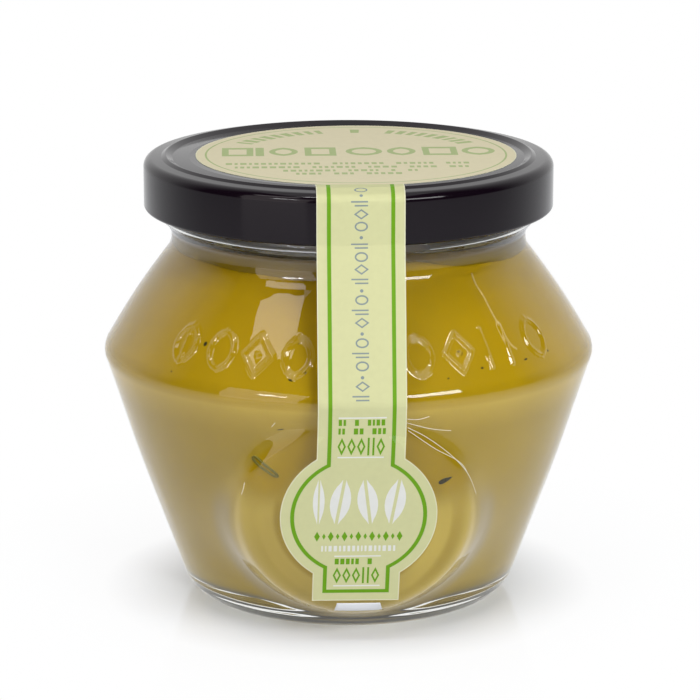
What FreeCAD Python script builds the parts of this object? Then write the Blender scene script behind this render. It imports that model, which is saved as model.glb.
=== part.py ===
"""Glass jar of pistachio spread with a twist-off metal lid and a paper label.

The jar stands on z = 0 with its axis on Z and its medallion and label towards -Y.
Lengths are millimetres. Every driving dimension is a cell of the sheet "Sizes".
"""

import FreeCAD, Part
import math
import os

import Sketcher

doc = FreeCAD.newDocument("pistachio_spread_jar")

# ---------------------------------------------------------------- the sheet of sizes

SIZES = {
    # glass jar, outside
    "foot_radius": 30.6,  # widest radius of the heel's round
    "heel_round": 6.5,  # from the flat foot into the lower cone
    "ridge_radius": 43.95,  # widest radius of the jar
    "ridge_height": 45.05,
    "ridge_round": 3.05,
    "neck_radius": 31.65,  # narrowest, just under the closure
    "neck_height": 65.5,
    "neck_round": 4.0,  # hollow round from the upper cone into the neck
    "bead_radius": 33.4,  # glass finish that the closure covers
    "bead_height": 69.0,
    "rim_height": 79.3,  # sealing rim, where the closure sits
    "rim_round": 0.8,
    # glass jar, inside
    "wall": 3.1,
    "floor_height": 5.0,  # solid glass under the spread
    "floor_round": 5.5,
    "inner_ridge_round": 3.0,
    "spread_level": 63.0,
    # medallion on the front of the lower cone
    "medallion_height": 24.0,  # of its centre
    "medallion_radius": 19.5,  # of its face, rounded edge included
    "medallion_ridge_gap": 0.02,  # how far its plane clears the ridge's round
    "medallion_foot_rise": 4.45,  # how far its plane stands off the heel
    "medallion_depth": 14.0,
    "medallion_flare": 0.6,  # the wall's growth in radius for each mm of depth
    "medallion_round": 2.0,
    # twist-off closure
    "lid_radius": 36.5,
    "lid_drop": 8.6,  # from the sealing rim down to the lower edge
    "tinplate": 0.3,
    "panel_radius": 31.2,  # flat middle of the lid
    "ring_rise": 0.6,  # raised ring around it
    "ring_width": 1.1,
    "ring_radius": 33.1,
    "shoulder_round": 1.6,
    "shoulder_rise": 0.1,  # top of the shoulder's round over the panel
    "curl_width": 1.3,
    "curl_height": 1.7,
    "curl_round": 0.6,
    "lug_count": 4,
    "lug_turn": 34.6,  # degrees from the front to the first lug
    "lug_width": 14.0,
    "lug_height": 1.2,
    "lug_root": 0.4,  # how far a lug reaches into the curl that carries it
    "lug_gap": 0.3,  # running clearance of a lug to the glass beside and above it
    "lug_notch": 0.7,  # how far the lower edge is pressed up at a lug
    "notch_margin": 0.5,  # how far the pressed-up edge runs past a lug on each side
    "thread_reach": 1.2,  # how far a glass thread stands out over the lugs
    "thread_height": 1.6,
    "thread_arc": 40.0,  # degrees
    # paper label
    "paper": 0.25,
    "paper_lift": 0.05,  # between the paper and the round faces it only passes
    "disc_radius": 28.6,
    "strip_width": 15.0,
    "roundel_radius": 13.45,
    "strip_root": 3.0,  # how far the strip runs into the disc
    "bend_rise": 0.3,  # the strip's bend over the ridge
    "tab_height": 7.6,  # lower end of the label
    "label_shift": 0.8,  # the label was stuck on a little off centre
}

sheet = doc.addObject("Spreadsheet::Sheet", "Sizes")
for row, (name, number) in enumerate(SIZES.items(), start=1):
    sheet.set(f"A{row}", name)
    sheet.set(f"B{row}", str(number))
    sheet.setAlias(f"B{row}", name)
doc.recompute()


class Size:
    """A length as a number and as the sheet formula that gives it."""

    def __init__(self, number, formula):
        self.number = number
        self.formula = formula

    @staticmethod
    def of(other):
        return other if isinstance(other, Size) else Size(float(other), repr(float(other)))

    def combine(self, other, sign, number):
        return Size(number, f"({self.formula} {sign} {Size.of(other).formula})")

    def __add__(self, other):
        return self.combine(other, "+", self.number + Size.of(other).number)

    def __sub__(self, other):
        return self.combine(other, "-", self.number - Size.of(other).number)

    def __mul__(self, other):
        return self.combine(other, "*", self.number * Size.of(other).number)

    def __truediv__(self, other):
        return self.combine(other, "/", self.number / Size.of(other).number)

    def __neg__(self):
        return Size(-self.number, f"(-1 * {self.formula})")


def size(name):
    """The named cell of the sheet."""
    return Size(float(sheet.get(name)), f"Sizes.{name}")


ZERO = Size(0.0, "0")
RIGHT_ANGLE = Size(90.0, "90 deg")
DEGREE = Size(1.0, "1 deg")


def bind(item, **sizes):
    """Ties properties of an object to formulas. Two underscores stand for a dot."""
    for path, value in sizes.items():
        item.setExpression(path.replace("__", "."), Size.of(value).formula)


def origin_plane(body, role):
    """One of a body's own three origin planes."""
    return next(item for item in body.Origin.OriginFeatures if item.Role == role)


def new_body(name):
    return doc.addObject("PartDesign::Body", name)


def new_sketch(body, name, role):
    sketch = body.newObject("Sketcher::SketchObject", name)
    sketch.AttachmentSupport = [(origin_plane(body, role), "")]
    sketch.MapMode = "FlatFace"
    return sketch


# ---------------------------------------------------------------- sketched outlines


class Corner:
    """A sharp corner of an outline."""

    def __init__(self, across, up):
        self.across = across
        self.up = up


class Round:
    """An arc of an outline, tangent to the straight runs on both sides of it."""

    def __init__(self, across, up, radius, hollow=False):
        self.across = across
        self.up = up
        self.radius = radius
        self.turn = -1.0 if hollow else 1.0


def spot(stop):
    return FreeCAD.Vector(stop.across.number, stop.up.number, 0)


def reach(stop):
    """The stop's radius, signed by the way the outline turns there."""
    return stop.radius.number * stop.turn if isinstance(stop, Round) else 0.0


def touch_points(first, second):
    """Ends of the straight run between two stops of a counter-clockwise outline."""
    line = spot(second) - spot(first)
    lean = math.atan2(line.y, line.x)
    swing = math.asin((reach(first) - reach(second)) / line.Length)
    side = lean + swing - math.pi / 2
    out = FreeCAD.Vector(math.cos(side), math.sin(side), 0)
    return spot(first) + out * reach(first), spot(second) + out * reach(second)


def fix_point(sketch, index, place, across, up):
    """Dimensions one point of a sketch from the sketch's origin."""
    for kind, value in (("DistanceX", across), ("DistanceY", up)):
        number = sketch.addConstraint(
            Sketcher.Constraint(kind, -1, 1, index, place, value.number)
        )
        sketch.setExpression(f"Constraints[{number}]", value.formula)


def draw_outline(sketch, stops):
    """Draws a closed counter-clockwise outline of corners and tangent rounds."""
    runs = [touch_points(stop, stops[(i + 1) % len(stops)]) for i, stop in enumerate(stops)]
    lines = [sketch.addGeometry(Part.LineSegment(start, end)) for start, end in runs]
    for i, stop in enumerate(stops):
        arriving, leaving = lines[i - 1], lines[i]
        if isinstance(stop, Corner):
            sketch.addConstraint(Sketcher.Constraint("Coincident", arriving, 2, leaving, 1))
            fix_point(sketch, leaving, 1, stop.across, stop.up)
            continue
        centre, start, end = spot(stop), runs[i - 1][1], runs[i][0]
        if stop.turn < 0:
            start, end = end, start
        angles = [math.atan2(p.y - centre.y, p.x - centre.x) for p in (start, end)]
        circle = Part.Circle(centre, FreeCAD.Vector(0, 0, 1), stop.radius.number)
        arc = sketch.addGeometry(Part.ArcOfCircle(circle, *angles))
        first, last = (1, 2) if stop.turn > 0 else (2, 1)
        sketch.addConstraint(Sketcher.Constraint("Tangent", arriving, 2, arc, first))
        sketch.addConstraint(Sketcher.Constraint("Tangent", arc, last, leaving, 1))
        number = sketch.addConstraint(
            Sketcher.Constraint("Radius", arc, stop.radius.number)
        )
        sketch.setExpression(f"Constraints[{number}]", stop.radius.formula)
        fix_point(sketch, arc, 3, stop.across, stop.up)


def revolve(body, name, stops):
    """Turns an outline, drawn as radius and height, once about the body's Z axis."""
    sketch = new_sketch(body, name + "_outline", "XZ_Plane")
    draw_outline(sketch, stops)
    solid = body.newObject("PartDesign::Revolution", name)
    solid.Profile = sketch
    solid.ReferenceAxis = (sketch, ["V_Axis"])
    solid.Angle = 360
    return solid


# ---------------------------------------------------------------- the glass jar

foot_radius = size("foot_radius")
heel_round = size("heel_round")
ridge_radius = size("ridge_radius")
ridge_height = size("ridge_height")
ridge_round = size("ridge_round")
neck_radius = size("neck_radius")
neck_height = size("neck_height")
neck_round = size("neck_round")
bead_radius = size("bead_radius")
rim_height = size("rim_height")
wall = size("wall")
floor_height = size("floor_height")
floor_round = size("floor_round")

lug_turn = size("lug_turn")
lug_top = rim_height - size("lid_drop") + size("lug_notch") + size("lug_height")


def arc_tangent(slope):
    return Size(math.degrees(math.atan(slope.number)), f"atan({slope.formula})")


def arc_sine(share):
    return Size(math.degrees(math.asin(share.number)), f"asin({share.formula})")


def tangent(angle):
    return Size(math.tan(math.radians(angle.number)), f"tan({angle.formula})")


def root(square):
    return Size(math.sqrt(square.number), f"sqrt({square.formula})")


def sine(angle):
    return Size(math.sin(math.radians(angle.number)), f"sin({angle.formula})")


def cosine(angle):
    return Size(math.cos(math.radians(angle.number)), f"cos({angle.formula})")


# The medallion and the label's lower part lie in one plane. It stands off the heel and
# passes just outside the ridge's round, so it leans less than the cone behind it.
plane_foot = foot_radius + size("medallion_foot_rise")
round_out = ridge_radius - ridge_round - plane_foot
round_up = ridge_height - heel_round
round_away = root(round_out * round_out + round_up * round_up)
round_clear = ridge_round + size("medallion_ridge_gap")
face_lean = arc_tangent(round_out / round_up) + arc_sine(round_clear / round_away)


def face_reach(height):
    """How far in front of the axis the medallion's plane is at a height."""
    return plane_foot + (height - heel_round) * tangent(face_lean)


def jar_outside():
    """The jar without its hollow: heel, ridge, neck, finish, medallion and threads."""
    body = new_body("JarOutside")
    rim_round = size("rim_round")
    revolve(body, "JarShape", [
        Corner(ZERO, ZERO),
        Round(foot_radius - heel_round, heel_round, heel_round),
        Round(ridge_radius - ridge_round, ridge_height, ridge_round),
        Round(neck_radius + neck_round, neck_height, neck_round, hollow=True),
        Corner(bead_radius, size("bead_height")),
        Round(bead_radius - rim_round, rim_height - rim_round, rim_round),
        Corner(ZERO, rim_height),
    ])
    add_medallion(body)
    add_threads(body)
    return body


def add_medallion(body):
    """A round boss with a flat face and flared sides, turned about its own axis."""
    radius = size("medallion_radius")
    rounding = size("medallion_round")
    depth = size("medallion_depth")
    height = size("medallion_height")
    medallion = revolve(body, "Medallion", [
        Corner(ZERO, ZERO),
        Corner(radius + depth * size("medallion_flare"), ZERO),
        Round(radius - rounding, depth - rounding, rounding),
        Corner(ZERO, depth),
    ])
    bind(
        medallion.Profile[0],
        AttachmentOffset__Base__y=height + depth * sine(face_lean),
        AttachmentOffset__Base__z=face_reach(height) - depth * cosine(face_lean),
        AttachmentOffset__Rotation__Axis__x=1,
        AttachmentOffset__Rotation__Axis__z=0,
        AttachmentOffset__Rotation__Angle=RIGHT_ANGLE + face_lean,
    )


def add_threads(body):
    """Four short threads on the finish. The closure's lugs hook in under them."""
    arc = size("thread_arc")
    thread = body.newObject("PartDesign::AdditiveCylinder", "Thread")
    thread.AttachmentSupport = [(origin_plane(body, "XY_Plane"), "")]
    thread.MapMode = "FlatFace"
    bind(
        thread,
        Radius=bead_radius + size("thread_reach"),
        Height=size("thread_height"),
        Angle=arc,
        AttachmentOffset__Base__z=lug_top + size("lug_gap"),
        AttachmentOffset__Rotation__Angle=(lug_turn - arc / 2) * DEGREE,
    )
    repeat_around(body, "Threads", [thread])


def repeat_around(body, name, features):
    """Repeats features round the body's Z axis, once for each lug."""
    pattern = body.newObject("PartDesign::PolarPattern", name)
    pattern.Originals = features
    pattern.Axis = (origin_plane(body, "Z_Axis"), [""])
    pattern.Angle = 360
    bind(pattern, Occurrences=size("lug_count"))
    body.Tip = pattern


def jar_hollow():
    """The inside of the jar, from its floor up past the rim."""
    body = new_body("JarHollow")
    inner_round = size("inner_ridge_round")
    bore_radius = neck_radius - wall
    revolve(body, "HollowShape", [
        Corner(ZERO, floor_height),
        Round(foot_radius - wall - floor_round, floor_height + floor_round, floor_round),
        Round(ridge_radius - wall - inner_round, ridge_height, inner_round),
        Round(neck_radius + neck_round, neck_height, neck_round + wall, hollow=True),
        Corner(bore_radius, rim_height + wall),
        Corner(ZERO, rim_height + wall),
    ])
    return body


def jar_glass(outside, hollow):
    glass = doc.addObject("Part::Cut", "JarGlass")
    glass.Base = outside
    glass.Tool = hollow
    glass.Label = "jar_glass"
    return glass


def spread(hollow):
    """The spread fills the jar's hollow up to its level."""
    filled = doc.addObject("Part::Cylinder", "FilledHeight")
    bind(filled, Radius=ridge_radius, Height=size("spread_level"))
    contents = doc.addObject("Part::Common", "Spread")
    contents.Base = hollow
    contents.Tool = filled
    contents.Label = "spread"
    return contents


# ---------------------------------------------------------------- the closure

lid_radius = size("lid_radius")
lid_drop = size("lid_drop")
tinplate = size("tinplate")
panel_radius = size("panel_radius")
ring_radius = size("ring_radius")
ring_rise = size("ring_rise")
shoulder_round = size("shoulder_round")
shoulder_height = tinplate + size("shoulder_rise") - shoulder_round
curl_inner = lid_radius - size("curl_width")


def lid():
    """Twist-off lid. Its own z = 0 is the underside that sits on the glass rim."""
    body = new_body("Lid")
    body.Label = "lid"
    skirt_inner = lid_radius - tinplate
    inner_round = shoulder_round - tinplate
    curl_round = size("curl_round")
    curl_top = size("curl_height") - lid_drop
    revolve(body, "LidShape", [
        Corner(ZERO, ZERO),
        Round(skirt_inner - inner_round, -inner_round, inner_round, hollow=True),
        Corner(skirt_inner, curl_top),
        Round(curl_inner + curl_round, curl_top - curl_round, curl_round),
        Round(curl_inner + curl_round, curl_round - lid_drop, curl_round),
        Round(lid_radius - curl_round, curl_round - lid_drop, curl_round),
        Round(lid_radius - shoulder_round, shoulder_height, shoulder_round),
        Corner(ring_radius, tinplate + ring_rise),
        Corner(ring_radius - size("ring_width"), tinplate + ring_rise),
        Corner(panel_radius, tinplate),
        Corner(ZERO, tinplate),
    ])
    lug_start = bead_radius + size("lug_gap")
    lug_width = size("lug_width")
    lug = lug_box(body, "Lug", "PartDesign::AdditiveBox", lug_width)
    bind(
        lug,
        Length=curl_inner + size("lug_root") - lug_start,
        Height=size("lug_height"),
        AttachmentOffset__Base__x=lug_start,
        AttachmentOffset__Base__z=size("lug_notch") - lid_drop,
    )
    notch_width = lug_width + size("notch_margin") * 2
    notch = lug_box(body, "LugNotch", "PartDesign::SubtractiveBox", notch_width)
    bind(
        notch,
        Length=size("curl_width") * 3,
        Height=size("lug_notch") * 2,
        AttachmentOffset__Base__x=curl_inner - size("curl_width"),
        AttachmentOffset__Base__z=-lid_drop - size("lug_notch"),
    )
    repeat_around(body, "Lugs", [lug, notch])
    bind(
        body,
        Placement__Base__z=rim_height,
        Placement__Rotation__Angle=(lug_turn - 90) * DEGREE,
    )
    return body


def lug_box(body, name, kind, width):
    """A box across the curl, centred on the body's X axis."""
    box = body.newObject(kind, name)
    box.AttachmentSupport = [(origin_plane(body, "XY_Plane"), "")]
    box.MapMode = "FlatFace"
    bind(box, Width=width, AttachmentOffset__Base__y=-(width / 2))
    return box


# ---------------------------------------------------------------- the label


def label():
    """One die-cut paper: a disc on the lid, a strip down the front and a roundel."""
    paper = doc.addObject("Part::MultiFuse", "Label")
    paper.Shapes = [label_disc(), label_strip(), label_roundel()]
    paper.Refine = True
    paper.Label = "label"
    bind(paper, Placement__Base__x=size("label_shift"))
    return paper


def label_disc():
    disc = doc.addObject("Part::Cylinder", "LabelDisc")
    bind(
        disc,
        Radius=size("disc_radius"),
        Height=size("paper"),
        Placement__Base__z=rim_height + tinplate,
    )
    return disc


def label_strip():
    """Over the ring and the shoulder, down the skirt, straight to the ridge, down the face.

    The strip is straight across, so it starts up the round ring where its sides meet it.
    """
    paper = size("paper")
    lift = size("paper_lift")
    panel = rim_height + tinplate
    ring = panel + ring_rise + lift
    facet = shoulder_round * math.tan(math.radians(22.5))
    shoulder = rim_height + shoulder_height
    skirt = lid_radius + lift
    bend = ridge_height + size("bend_rise")
    tab = size("tab_height")
    sideways = paper / cosine(face_lean)
    side = size("strip_width") / 2 + size("label_shift")
    foot_of_ring = root(panel_radius * panel_radius - side * side) - lift
    crest = ring_radius - size("ring_width")
    crest_start = root(crest * crest - side * side) - lift
    path = [
        (size("disc_radius") - size("strip_root"), panel, ZERO, paper),
        (foot_of_ring, panel, ZERO, paper),
        (crest_start, ring, ZERO, paper),
        (ring_radius, ring, ZERO, paper),
        (lid_radius - shoulder_round + facet, shoulder + shoulder_round + lift, ZERO, paper),
        (skirt, shoulder + facet + lift, paper, ZERO),
        (skirt, rim_height - lid_drop, paper, ZERO),
        (face_reach(bend), bend, sideways, ZERO),
        (face_reach(tab), tab, sideways, ZERO),
    ]
    inner = [Corner(-reach, height) for reach, height, _, _ in path]
    outer = [Corner(-(reach + out), height + up) for reach, height, out, up in path]
    body = new_body("LabelStrip")
    sketch = new_sketch(body, "StripOutline", "YZ_Plane")
    draw_outline(sketch, inner + outer[::-1])
    strip = body.newObject("PartDesign::Pad", "Strip")
    strip.Profile = sketch
    strip.Midplane = True
    bind(strip, Length=size("strip_width"))
    return body


def label_roundel():
    height = size("medallion_height")
    roundel = doc.addObject("Part::Cylinder", "LabelRoundel")
    bind(
        roundel,
        Radius=size("roundel_radius"),
        Height=size("paper"),
        Placement__Base__y=-face_reach(height),
        Placement__Base__z=height,
        Placement__Rotation__Axis__x=1,
        Placement__Rotation__Axis__z=0,
        Placement__Rotation__Angle=RIGHT_ANGLE + face_lean,
    )
    return roundel


# ---------------------------------------------------------------- build, check, write

hollow = jar_hollow()
pieces = [jar_glass(jar_outside(), hollow), spread(hollow), lid(), label()]
doc.recompute()

for item in doc.Objects:
    if "Invalid" in item.State or "Error" in item.State:
        raise RuntimeError(f"{item.Name} failed: {item.getStatusString()}")

os.makedirs("parts", exist_ok=True)
for piece in pieces:
    shape = piece.Shape
    if shape.isNull() or not shape.isValid() or len(shape.Solids) != 1:
        raise RuntimeError(f"{piece.Label} is not one valid solid")
    shape.exportStep(f"parts/{piece.Label}.step")
    print(piece.Label, round(shape.Volume / 1000, 2), "ml")
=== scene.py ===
"""Looks of the jar of pistachio spread: clear glass, spread, black lid and paper label.

Lengths are metres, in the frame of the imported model: the jar stands on z = 0 with its
axis on Z and its label towards -Y. Sizes written in millimetres are multiplied by MM.
"""

import math
import random

import bpy
import numpy as np
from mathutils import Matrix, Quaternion, Vector, geometry

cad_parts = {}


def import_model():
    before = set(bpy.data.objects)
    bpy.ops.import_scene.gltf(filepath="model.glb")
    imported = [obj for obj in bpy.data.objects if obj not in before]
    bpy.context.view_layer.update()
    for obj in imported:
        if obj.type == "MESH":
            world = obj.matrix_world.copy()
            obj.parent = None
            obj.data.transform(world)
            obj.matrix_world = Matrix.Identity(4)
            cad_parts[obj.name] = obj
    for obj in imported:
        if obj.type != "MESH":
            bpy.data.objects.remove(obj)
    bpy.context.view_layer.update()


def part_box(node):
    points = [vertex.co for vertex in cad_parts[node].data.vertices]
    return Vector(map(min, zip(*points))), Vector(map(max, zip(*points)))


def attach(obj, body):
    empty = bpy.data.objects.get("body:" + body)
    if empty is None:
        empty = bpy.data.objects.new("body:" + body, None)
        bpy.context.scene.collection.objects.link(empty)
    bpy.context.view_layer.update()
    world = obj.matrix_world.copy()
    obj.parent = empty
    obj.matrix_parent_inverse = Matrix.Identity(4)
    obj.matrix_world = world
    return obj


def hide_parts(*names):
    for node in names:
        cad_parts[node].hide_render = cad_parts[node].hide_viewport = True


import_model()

MM = 0.001
random.seed(7)


# ------------------------------------------------------------------ sizes from the frame

_, glass_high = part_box("jar_glass")
spread_low, spread_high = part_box("spread")
lid_low, lid_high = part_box("lid")
label_low, label_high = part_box("label")

RIDGE_RADIUS = glass_high[0] - 0.03 * MM  # a little inside the model's box
RIM_HEIGHT = glass_high[2]
FLOOR_HEIGHT = spread_low[2]
LEVEL = spread_high[2]
WALL = RIDGE_RADIUS - spread_high[0]
LID_RADIUS = lid_high[0]
LID_EDGE = lid_low[2]
LID_TOP = lid_high[2]

# Shape of the glass, as the model has it.
FOOT_RADIUS = 30.6 * MM
HEEL_ROUND = 6.5 * MM
RIDGE_HEIGHT = 45.05 * MM
RIDGE_ROUND = 3.05 * MM
NECK_RADIUS = 31.65 * MM
NECK_HEIGHT = 65.5 * MM
NECK_ROUND = 4.0 * MM
BEAD_RADIUS = 33.4 * MM
BEAD_HEIGHT = 69.0 * MM
RIM_ROUND = 0.8 * MM
FLOOR_ROUND = 5.5 * MM
INNER_RIDGE_ROUND = 3.0 * MM
MEDALLION_HEIGHT = 24.0 * MM
MEDALLION_RADIUS = 19.5 * MM
MEDALLION_FOOT_RISE = 4.45 * MM
MEDALLION_FLARE = 0.6
MEDALLION_ROUND = 2.0 * MM
MEDALLION_BLEND = 2.2 * MM
TINPLATE = 0.3 * MM
PANEL_HEIGHT = RIM_HEIGHT + TINPLATE


# ------------------------------------------------------------------ outlines


def touch(first, second):
    """Ends of the straight run between two rounds, each (across, up, signed radius).

    A positive radius turns left on the way along the outline, a negative one right.
    """
    start, end = np.array(first[:2]), np.array(second[:2])
    gap = end - start
    length = np.hypot(*gap)
    lean = math.atan2(gap[1], gap[0])
    side = lean + math.asin((first[2] - second[2]) / length) - math.pi / 2
    out = np.array([math.cos(side), math.sin(side)])
    return start + out * first[2], end + out * second[2]


def trace(stops, step, turn=math.radians(6)):
    """Points along an open outline of straight runs and tangent rounds.

    step is the longest piece of a straight run, or one for each run. turn is the
    largest angle between two points of a round.
    """
    runs = [touch(a, b) for a, b in zip(stops, stops[1:])]
    steps = [step] * len(runs) if np.isscalar(step) else step
    points = []
    for i, (start, end) in enumerate(runs):
        count = max(1, math.ceil(np.hypot(*(end - start)) / steps[i]))
        points += [start + (end - start) * k / count for k in range(count)]
        if i + 1 == len(runs):
            points.append(end)
            continue
        centre, radius = np.array(stops[i + 1][:2]), stops[i + 1][2]
        if radius == 0:
            continue
        first = math.atan2(*(end - centre)[::-1])
        last = math.atan2(*(runs[i + 1][0] - centre)[::-1])
        sweep = (last - first + math.pi) % (2 * math.pi) - math.pi
        count = max(1, math.ceil(abs(sweep) / turn))
        for k in range(count):
            angle = first + sweep * k / count
            points.append(centre + abs(radius) * np.array([math.cos(angle), math.sin(angle)]))
    return np.array(points)


# ------------------------------------------------------------------ meshes


def new_object(name, data):
    item = bpy.data.objects.new(name, data)
    bpy.context.scene.collection.objects.link(item)
    return item


def make_object(name, points, faces, materials, slots=None, smooth=True):
    mesh = bpy.data.meshes.new(name)
    mesh.from_pydata([tuple(p) for p in points], [], [tuple(f) for f in faces])
    for material in materials:
        mesh.materials.append(material)
    if slots is not None:
        mesh.polygons.foreach_set("material_index", np.asarray(slots, dtype=np.int32))
    mesh.polygons.foreach_set("use_smooth", np.full(len(mesh.polygons), smooth))
    mesh.update()
    return new_object(name, mesh)


def ring_faces(columns, first_row, second_row):
    """Quads between two closed rows of points."""
    around = np.arange(columns)
    after = (around + 1) % columns
    corners = [first_row + around, first_row + after, second_row + after, second_row + around]
    return np.stack(corners, 1).tolist()


def revolved(rows, angles):
    """Points and faces of rows round the axis, each (radius or radii, height or heights).

    angles go from the front, -Y, towards +X. A row of radius 0 becomes one point.
    """
    columns = len(angles)
    points, faces, starts = [], [], []
    for radius, height in rows:
        starts.append(len(points))
        if np.isscalar(radius) and radius == 0:
            points.append((0, 0, height))
            continue
        radii, heights = np.broadcast_to(radius, columns), np.broadcast_to(height, columns)
        points += list(zip(radii * np.sin(angles), -radii * np.cos(angles), heights))
    sizes = np.diff(starts + [len(points)])
    around = range(columns)
    for low, high, low_size, high_size in zip(starts, starts[1:], sizes, sizes[1:]):
        if low_size == 1:
            faces += [(low, high + (k + 1) % columns, high + k) for k in around]
        elif high_size == 1:
            faces += [(low + k, low + (k + 1) % columns, high) for k in around]
        else:
            faces += ring_faces(columns, low, high)
    return points, faces


def from_front(turn, reach, height):
    """A place at a turn from the front, a reach from the axis and a height."""
    return Vector((reach * math.sin(turn), -reach * math.cos(turn), height))


def tube(centres, radius, sides, closed):
    """Points and faces of a round rod along centres."""
    points, faces = [], []
    count = len(centres)
    for k, centre in enumerate(centres):
        before = centres[k - 1] if closed or k else centre
        after = centres[(k + 1) % count] if closed or k + 1 < count else centre
        along = (after - before).normalized()
        side = along.cross(Vector((0.3, 0.2, 0.93))).normalized()
        other = along.cross(side)
        for j in range(sides):
            angle = 2 * math.pi * j / sides
            away = (side * math.cos(angle) + other * math.sin(angle)) * radius
            points.append(centre + away)
    for k in range(count if closed else count - 1):
        faces += ring_faces(sides, k * sides, (k + 1) % count * sides)
    if not closed:
        faces.append(tuple(range(sides))[::-1])
        faces.append(tuple(range((count - 1) * sides, count * sides)))
    return points, faces


def smooth(spots, count):
    """More places between the given ones, on a curve through them."""
    found = []
    for k in range(len(spots) - 1):
        before, start, end = spots[max(k - 1, 0)], spots[k], spots[k + 1]
        after = spots[min(k + 2, len(spots) - 1)]
        for j in range(count):
            t = j / count
            leave, arrive = t * (1 - t) ** 2, t * t * (1 - t)
            bend = (end - before) * leave / 2 - (after - start) * arrive / 2
            found.append(start.lerp(end, t * t * (3 - 2 * t)) + bend)
    return found + [spots[-1]]


# ------------------------------------------------------------------ materials


class Tree:
    """The nodes of one new material or world."""

    def __init__(self, owner):
        owner.use_nodes = True
        self.nodes = owner.node_tree.nodes
        self.links = owner.node_tree.links
        self.nodes.clear()

    def feed(self, socket, value):
        """Give a socket a value, or link it where the value is a node's output."""
        if isinstance(value, bpy.types.NodeSocket):
            self.links.new(value, socket)
        else:
            socket.default_value = value

    def add(self, kind, *inputs, **settings):
        """A new node, with its inputs given in order, or None to leave one, or by name."""
        made = self.nodes.new("ShaderNode" + kind)
        for key in ("operation", "interpolation_type"):
            if key in settings:
                setattr(made, key, settings.pop(key))
        for socket, value in zip(made.inputs, inputs):
            if value is not None:
                self.feed(socket, value)
        for key, value in settings.items():
            self.feed(made.inputs[key.replace("_", " ")], value)
        return made

    def out(self, kind, *inputs, **settings):
        """The first output of a new node."""
        return self.add(kind, *inputs, **settings).outputs[0]

    def maths(self, operation, *values):
        return self.out("Math", *values, operation=operation)

    def vector(self, operation, *values):
        made = self.add("VectorMath", *values, operation=operation)
        return made.outputs["Value" if operation == "LENGTH" else "Vector"]

    def place(self, kind="Object"):
        return self.add("TexCoord").outputs[kind]

    def height(self):
        return self.add("SeparateXYZ", self.place()).outputs["Z"]

    def noise(self, scale, detail, place=None):
        return self.out("TexNoise", Vector=place or self.place(), Scale=scale, Detail=detail)

    def ramp(self, value, stops, reach=1):
        """Colour of a value between 0 and a reach, from stops of (value, colour or grey)."""
        if reach != 1:
            value = self.maths("MULTIPLY", value, 1 / reach)
        made = self.add("ValToRGB", value)
        elements = made.color_ramp.elements
        for k, (at, colour) in enumerate(stops):
            stop = elements[k] if k < 2 else elements.new(at / reach)
            stop.position = at / reach
            stop.color = (*(colour if isinstance(colour, tuple) else (colour,) * 3), 1)
        return made.outputs[0]

    def between(self, value, none, full):
        """Share that runs from nothing at one value to all at the other."""
        ends = {"From_Min": min(none, full), "From_Max": max(none, full)}
        ends["To_Min"] = 0 if none < full else 1
        ends["To_Max"] = 1 if none < full else 0
        return self.out("MapRange", Value=value, interpolation_type="SMOOTHSTEP", **ends)

    def principled(self, colour=None, bumps=None, rough=None, **values):
        """A Principled shader's output. bumps are a noise's scale and its height in metres.

        rough is the range of the roughness where that follows the same noise.
        """
        shader = self.add("BsdfPrincipled", **values)
        if colour is not None:
            self.feed(shader.inputs["Base Color"], colour)
        if bumps:
            scale, height = bumps
            grain = self.noise(scale, 2.0)
            bump = self.out("Bump", Strength=1.0, Distance=height, Height=grain)
            self.feed(shader.inputs["Normal"], bump)
        if rough:
            varied = self.out("MapRange", Value=grain, To_Min=rough[0], To_Max=rough[1])
            self.feed(shader.inputs["Roughness"], varied)
        return shader.outputs[0]


def new_material(name):
    material = bpy.data.materials.new(name)
    return material, Tree(material)


def plain_material(name, colour, **settings):
    """Material of one Principled shader in one colour."""
    material, tree = new_material(name)
    tree.add("OutputMaterial", tree.principled((*colour, 1), **settings))
    return material


def grained_material(name, colour, shades, grain, bumps, rough, gloss):
    """Material with a fine grain between two shades of a colour."""
    material, tree = new_material(name)
    stops = [(k, tuple(c * shade for c in colour)) for k, shade in enumerate(shades)]
    grained = tree.ramp(tree.noise(*grain), stops)
    shader = tree.principled(grained, bumps, rough, Specular_IOR_Level=gloss)
    tree.add("OutputMaterial", shader)
    return material


def paper_material(name, colour):
    fibres, bumps = (900.0, 3.0), (1500.0, 0.01 * MM)
    return grained_material(name, colour, (0.96, 1.04), fibres, bumps, (0.55, 0.68), 0.2)


def fleck_material(name, colour):
    grain, bumps = (2500.0, 2.0), (2500.0, 0.03 * MM)
    return grained_material(name, colour, (0.6, 1.4), grain, bumps, (0.5, 0.7), 0.1)


def lid_material():
    finish = {"bumps": (500.0, 0.003 * MM), "rough": (0.07, 0.13), "Specular_IOR_Level": 0.22}
    return plain_material("black_tinplate", (0.0045, 0.002, 0.0045), **finish)


def glass_material():
    """Clear glass. Lamps shine through it, so that the spread under it is lit."""
    material, tree = new_material("clear_glass")
    clear = {"Roughness": 0.0, "IOR": 1.52, "Transmission_Weight": 1.0}
    glass = tree.principled((0.985, 1.0, 0.985, 1), (150.0, 0.035 * MM), **clear)
    open_to_lamps = tree.out("BsdfTransparent", (0.93, 0.95, 0.93, 1))
    shadow = tree.add("LightPath").outputs["Is Shadow Ray"]
    tree.add("OutputMaterial", tree.out("MixShader", shadow, glass, open_to_lamps))
    return material


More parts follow.
